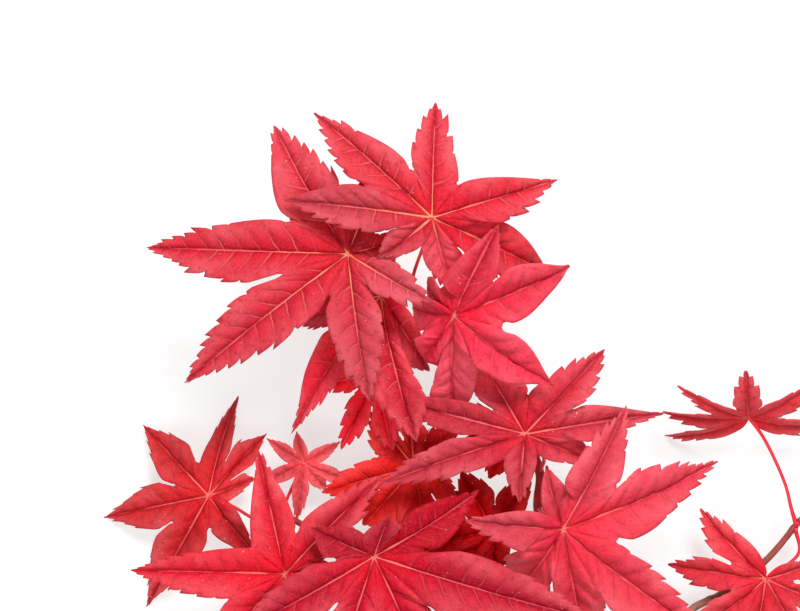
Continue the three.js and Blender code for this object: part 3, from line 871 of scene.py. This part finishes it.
def blade_sheet(name, heart, lobes, chance):
    """The blade's middle surface: points, the place of each on its lobe, its skin, and faces."""
    heart = Vector(heart)
    spans = [lobe_span(heart, lobe) for lobe in lobes]
    face = sum((a.cross(b) for a, b in zip(spans, spans[1:])), Vector()).normalized()
    lobes = [Lobe(heart, face, span, chance) for span in spans]
    dullness_and_painted_light = DULLNESS_AND_PAINTED_LIGHT.get(name, (USUAL_DULLNESS,) * len(lobes))
    widths = WIDTHS.get(name, (1,) * len(lobes))
    notches = NOTCHES.get(name, (None,) * (len(lobes) - 1))
    usual_length = sum(lobe.length for lobe in lobes) / len(lobes)
    points, places, skins, faces = [heart], [(0.0, 0.0, 0.0)], [(0.0, USUAL_DULLNESS)], []

    def add(point, place, skin):
        points.append(point)
        places.append(place)
        skins.append(skin)
        return len(points) - 1

    creases = [None]
    for lobe, after, away, dull_and_painted_light, next_dull_and_painted_light in zip(lobes, lobes[1:], notches, dullness_and_painted_light,
                                                  dullness_and_painted_light[1:]):
        crease = Crease(lobe, after, away)
        for step in range(1, INNER_ROWS + 1):
            share = step / INNER_ROWS
            place = (share * 2, crease.width * share, NOTCH_SHARE * share)
            point = heart.lerp(crease.notch, share)
            crease.row.append(add(point, place, (1.0, (dull_and_painted_light + next_dull_and_painted_light) / 2)))
        creases.append(crease)
    creases.append(None)

    for number, (lobe, dull_and_painted_light) in enumerate(zip(lobes, dullness_and_painted_light)):
        widest = HALF_WIDTH * math.sqrt(lobe.length * usual_length) * widths[number]
        teeth = max(4, round(0.64 * lobe.length / TOOTH_PITCH))
        tail = TAILS.get(name, {}).get(number, USUAL_TAIL)
        whole = WHOLE_MARGINS.get(name, {}).get(number)
        whole = whole or (chance.uniform(*WHOLE), chance.uniform(*WHOLE))
        edges = (creases[number + 1], creases[number])
        sides = [side_rows(lobe, crease, widest, tail, teeth, part, chance)
                 for crease, part in zip(edges, whole)]
        rows = len(sides[0])
        shares = rib_shares(lobe, sides)
        spacing = lobe.length / max(5, round(lobe.length / VEIN_PITCH))
        phases = [share * lobe.length / spacing for share in shares]
        rib_row = [0]
        for row in range(1, rows + 1):
            place = (phases[row], 0.0, shares[row])
            rib_row.append(add(lobe.rib(shares[row]), place, (0.0, dull_and_painted_light)))

        for sign, crease, side in zip((1, -1), edges, sides):
            strips = [rib_row, *([0] for _ in COLUMNS), [0]]
            stagger = 0.0 if sign > 0 else chance.uniform(0.35, 0.6)
            wave = chance.uniform(0, 6.28)
            for row in range(1, rows):
                along, width, height, overhang = side[row - 1]
                at_crease = crease and row <= INNER_ROWS
                if at_crease:
                    smooth = points[crease.row[row]]
                else:
                    smooth = lobe.rib(along) + lobe.across * (sign * width)
                    smooth += lobe.up * (width * PLEAT)
                tipward = max((shares[row] - 0.3) / 0.7, 0) ** 1.5
                twist = lobe.twist * tipward * sign * width
                wavy = 0.05 * width * math.sin(wave + along * lobe.length * 0.3)
                phase = phases[row] + stagger
                quilt = QUILTING * min(width / 7, 1.2) * math.sin(math.pi * phase) ** 2
                for strip, out in zip(strips[1:], COLUMNS):
                    lift = quilt * math.sin(math.pi * out**0.75)
                    lift += DOME * width * math.sin(math.pi * out) + wavy * out * out + twist * out
                    point = points[rib_row[row]].lerp(smooth, out) + lobe.up * lift
                    point -= lobe.way * (0.4 * width * out * (1 - out))
                    place = (phase, width * out, shares[row] + (along - shares[row]) * out)
                    strip.append(add(point, place, (out, dull_and_painted_light)))
                if at_crease:
                    strips[-1].append(crease.row[row])
                    continue
                height *= TEETH.get(name, 1.0)
                edge = smooth + lobe.across * (sign * height) + lobe.way * overhang
                edge += lobe.up * (height * PLEAT + wavy + twist)
                strips[-1].append(add(edge, (phase, width, along), (1.0, dull_and_painted_light)))
            for strip in strips[1:]:
                strip.append(rib_row[rows])
            faces += stitch(strips, sign)
    return points, places, skins, faces


def square_to(table, faces):
    """The direction square to the sheet at each of its points."""
    normals = np.zeros_like(table)
    for ring in faces:
        a, b, c = table[ring[0]], table[ring[1]], table[ring[2]]
        normal = np.cross(b - a, c - a)
        if len(ring) == 4:
            normal = normal + np.cross(c - a, table[ring[3]] - a)
        for vert in ring:
            normals[vert] += normal
    return normals / (np.linalg.norm(normals, axis=1, keepdims=True) + 1e-12)


def margin_of(faces):
    """The edges that only one face has."""
    edges = {}
    for ring in faces:
        for a, b in zip(ring, ring[1:] + ring[:1]):
            if not edges.pop((b, a), False):
                edges[a, b] = True
    return list(edges)


def blade_mesh(name, heart, lobes, chance):
    """Both skins of the blade and the wall round its margin, as one closed mesh."""
    points, places, skins, faces = blade_sheet(name, heart, lobes, chance)
    table = np.array(points)
    normals = square_to(table, faces)
    for size, height in UNEVENNESS:
        height *= CRUMPLED.get(name, 1)
        waves = [noise.noise(point / size) * height for point in points]
        table += normals * np.array(waves)[:, None]
    rib = np.array([RIB_DEPTH * max(0, 1 - away / RIB_REACH) * (1 - 0.75 * share)
                    for _, away, share in places])
    upper = table + normals * (BLADE_THICKNESS / 2)
    lower = table - normals * (BLADE_THICKNESS / 2 + rib)[:, None]
    everything = np.concatenate([upper, lower])
    everything[:, 2] = np.maximum(everything[:, 2], TABLE_HEIGHT)
    count = len(points)
    lower_faces = [tuple(v + count for v in reversed(ring)) for ring in faces]
    wall = [(b, a, a + count, b + count) for a, b in margin_of(faces)]
    mesh = bpy.data.meshes.new(name + "_blade")
    mesh.from_pydata(everything * MM, [], faces + lower_faces + wall)
    place_on_lobe = mesh.attributes.new("place_on_lobe", "FLOAT_VECTOR", "POINT")
    place_on_lobe.data.foreach_set("vector", np.array(places * 2).ravel())
    skin = [(*kind, under) for under in (0.0, 1.0) for kind in skins]
    skin_kind = mesh.attributes.new("skin", "FLOAT_VECTOR", "POINT")
    skin_kind.data.foreach_set("vector", np.array(skin).ravel())
    smooth = [True] * (2 * len(faces)) + [False] * len(wall)
    mesh.polygons.foreach_set("use_smooth", smooth)
    return mesh


# paler red: partly the lobes' own paleness, partly painted light on lobes that face away from the
# lamps
PALE_AND_PAINTED_LIGHT_RED = (1.0, 0.11, 0.17)
# painted shade: the deep, saturated red of lobes that lie in other leaves' shadow
PAINTED_SHADE_RED = (0.4, 0.0, 0.01)
SPECKS = (0.9, 0.4, 0.38)
UNDERSIDE = (0.66, 0.16, 0.17)


def blade_finish(name, body, dull_and_painted_shade_body, heart_tint, vein_tint, gloss, veins):
    """Leaf skin: red, dulled and bluer with age and towards the tips, mottled between its veins,
    with painted shade in the grooves and on the lobes that other leaves shade, painted light on
    lobes that face away from the lamps, and a painted sheen towards the margins.
    """
    finish = Finish(name)
    blend, step, grain = finish.blend, finish.step, finish.grain

    def parts_of(attribute):
        vector = finish.node("ShaderNodeAttribute", {"attribute_name": attribute})
        split = finish.node("ShaderNodeSeparateXYZ", {}, {0: vector.outputs["Vector"]})
        return (Reading(finish, split.outputs[axis]) for axis in range(3))

    phase, away, share = parts_of("place_on_lobe")
    outward, dull_and_painted_light, under = parts_of("skin")
    clouds = grain(90, 3.0, 0.5)
    mottle = grain(460, 4.0, 0.62)
    fine = grain(1500, 2.0, 0.6)

    # side veins: thin pale lines, from the rib towards the margin
    wobble = (grain(300, 1.0) - 0.5) * 0.24
    turn = (phase + wobble + 100.5).put_through("FRACT") - 0.5
    from_vein = turn.put_through("ABSOLUTE") * 4.4
    vein_reach = step(outward, 0.97, 0.3) * step(share, 0.06, 0.2)
    vein_reach = vein_reach * (0.35 + 0.65 * step(grain(110, 0.0), 0.35, 0.6))
    side_vein = step(from_vein / (0.25 - outward * 0.13), 1.2, 0.45) * vein_reach
    # the grooves along the side veins: sunk in the relief, and darkened in the colour as painted
    # shade
    groove = step(from_vein, 1.1, 0.1) * vein_reach

    # the net of the finest veins, and the rib, which is widest at the heart
    net = finish.read("ShaderNodeTexVoronoi", {"feature": "DISTANCE_TO_EDGE"},
                      {"Vector": finish.place(), "Scale": 720})
    rib_line = step(away / (0.32 - 0.22 * share), 1.2, 0.55)
    rib_tint = blend(step(share, 0.5, 0.03), vein_tint, heart_tint)

    # dulling by age, and painted shade on the lobes that other leaves shade
    dulled_and_painted_shade = finish.read("ShaderNodeMath", {"operation": "MULTIPLY", "use_clamp": True},
                         {0: dull_and_painted_light * (0.6 + share * 0.6) + (clouds - 0.5) * 0.7, 1: 1.0})
    # painted sheen and painted light: paler towards the margins and away from the heart, in
    # patches, and none on the lobes painted in deep shade
    painted_sheen = step(outward, 0.1, 0.9) * step(share, 0.1, 0.45)
    painted_sheen = painted_sheen * (0.35 + 0.65 * step(clouds, 0.35, 0.62)) * step(dull_and_painted_light, 2.0, 1.0)
    # the painted sheen is whiter on the glossier leaves
    painted_sheen_lift = 0.12 * min(gloss / 0.1, 1)
    specks = step(grain(1300, 0.0), 0.79, 0.85) * step(clouds, 0.5, 0.6)
    dark = shade(body, 0.5)
    tint = blend(dulled_and_painted_shade, body, dull_and_painted_shade_body)
    # coat over coat: how much of each shows, and its colour
    for coat, colour in (
        # paler lobes: partly their own paleness, partly painted light
        (step(dull_and_painted_light, 0.0, -1.0), PALE_AND_PAINTED_LIGHT_RED),
        # painted sheen
        (painted_sheen * 0.6, shade(body, 1.06, painted_sheen_lift)),
        (step(share, 0.4, 0.0) * 0.68, (body[0], body[1] * 0.15, body[2] * 0.45)),
        # painted shade on the lobes that other leaves shade
        (step(dull_and_painted_light, 1.0, 2.0) * 0.9, PAINTED_SHADE_RED),
        (step(mottle, 0.5, 0.72) * 0.32, shade(body, 1.4, 0.02)),
        (step(mottle, 0.5, 0.29) * 0.5, shade(body, 0.55)),
        (step(fine, 0.5, 0.7) * 0.24, shade(body, 1.3, 0.03)),
        (step(fine, 0.5, 0.3) * 0.26, dark),
        # painted shade in the groove beside the rib
        (step(away, 1.2, 0.3) * 0.3, dark),
        # painted shade in the grooves along the side veins
        (groove * 0.38, dark),
        (step(net, 0.1, 0.0) * 0.07, vein_tint),
        (side_vein * veins, vein_tint),
        (rib_line * (0.88 - 0.5 * share), rib_tint),
        (step(outward, 0.95, 1.0) * 0.12, dark),
        (specks * 0.6, SPECKS),
        (under * 0.5, UNDERSIDE),
    ):
        tint = blend(coat, tint, colour)

    height = fine * 0.3 + mottle * 0.5 + net * 0.25 - groove * 0.5 - step(away, 1.3, 0.2) * 0.7
    finish.set(Base_Color=tint, Roughness=0.5 + mottle * 0.2, Specular_IOR_Level=gloss,
               Subsurface_Weight=0.2, Subsurface_Radius=(1.0, 0.12, 0.1),
               Subsurface_Scale=0.0015, Normal=finish.relief(0.9, 0.00035, height))
    return finish.material


BRIGHT_RIBS = ((0.95, 0.33, 0.16), (0.82, 0.18, 0.17))  # near the heart, and farther out
PINK_RIBS = ((0.88, 0.21, 0.17), (0.74, 0.13, 0.15))
SHADED_RIBS = ((0.55, 0.09, 0.03), (0.4, 0.02, 0.015))
LEAF_LOOKS = {
    # red of the skin, the same skin dulled by age and in painted shade, ribs, gloss, how clear the
    # side veins are
    "leaf_top": ((0.64, 0.012, 0.034), (0.42, 0.04, 0.06), BRIGHT_RIBS, 0.12, 0.42),
    "leaf_left": ((0.57, 0.008, 0.028), (0.56, 0.07, 0.1), BRIGHT_RIBS, 0.14, 0.55),
    "leaf_hanging": ((0.7, 0.004, 0.026), (0.36, 0.012, 0.03), BRIGHT_RIBS, 0.1, 0.3),
    "leaf_centre": ((0.84, 0.013, 0.052), (0.5, 0.016, 0.038), PINK_RIBS, 0.16, 0.34),
    # painted light: the bright orange stands for light glowing through the leaves above
    "leaf_inner_bright": ((1.0, 0.006, 0.03), (0.9, 0.006, 0.026), BRIGHT_RIBS, 0.08, 0.2),
    "leaf_right": ((0.62, 0.012, 0.034), (0.42, 0.04, 0.06), PINK_RIBS, 0.12, 0.15),
    # painted shade: this leaf's deep dark red and darker ribs stand for the shadow it lies in
    "leaf_inner_small": ((0.5, 0.0, 0.004), (0.34, 0.0, 0.004), SHADED_RIBS, 0.03, 0.2),
    # painted light: the orange stands for light glowing through the leaves above
    "leaf_inner_mid": ((0.84, 0.018, 0.015), (0.45, 0.002, 0.008), BRIGHT_RIBS, 0.06, 0.2),
    "leaf_low_right": ((0.8, 0.032, 0.066), (0.44, 0.036, 0.056), PINK_RIBS, 0.16, 0.2),
    # painted shade: this leaf's deep dark red and darker ribs stand for the shadow it lies in
    "leaf_inner_dark": ((0.43, 0.0, 0.003), (0.3, 0.0, 0.003), SHADED_RIBS, 0.03, 0.2),
    "leaf_front": ((0.63, 0.004, 0.028), (0.27, 0.008, 0.022), PINK_RIBS, 0.1, 0.25),
    "leaf_low_left": ((0.74, 0.009, 0.03), (0.36, 0.012, 0.026), PINK_RIBS, 0.12, 0.2),
    "leaf_back_left": ((0.6, 0.016, 0.022), (0.44, 0.012, 0.024), PINK_RIBS, 0.12, 0.1),
    "leaf_back_small": ((1.0, 0.12, 0.14), (0.85, 0.07, 0.085), PINK_RIBS, 0.15, 0.1),
    "leaf_far_right": ((0.75, 0.03, 0.045), (0.62, 0.03, 0.05), PINK_RIBS, 0.15, 0.2),
    "leaf_far_low": ((0.7, 0.02, 0.038), (0.55, 0.03, 0.05), PINK_RIBS, 0.15, 0.2),
}

for number, (leaf_name, slot, heart, lobes, _) in enumerate(LEAVES):
    body, dull_and_painted_shade_body, ribs, gloss, veins = LEAF_LOOKS[leaf_name]
    mesh = blade_mesh(leaf_name, heart, lobes, random.Random(100 + number))
    finish = blade_finish(leaf_name + "_blade", body, dull_and_painted_shade_body, *ribs, gloss, veins)
    mesh.materials.append(finish)
    blade = add_object(leaf_name + "_blade", mesh)
    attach(blade, "root")
    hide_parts(leaf_name)
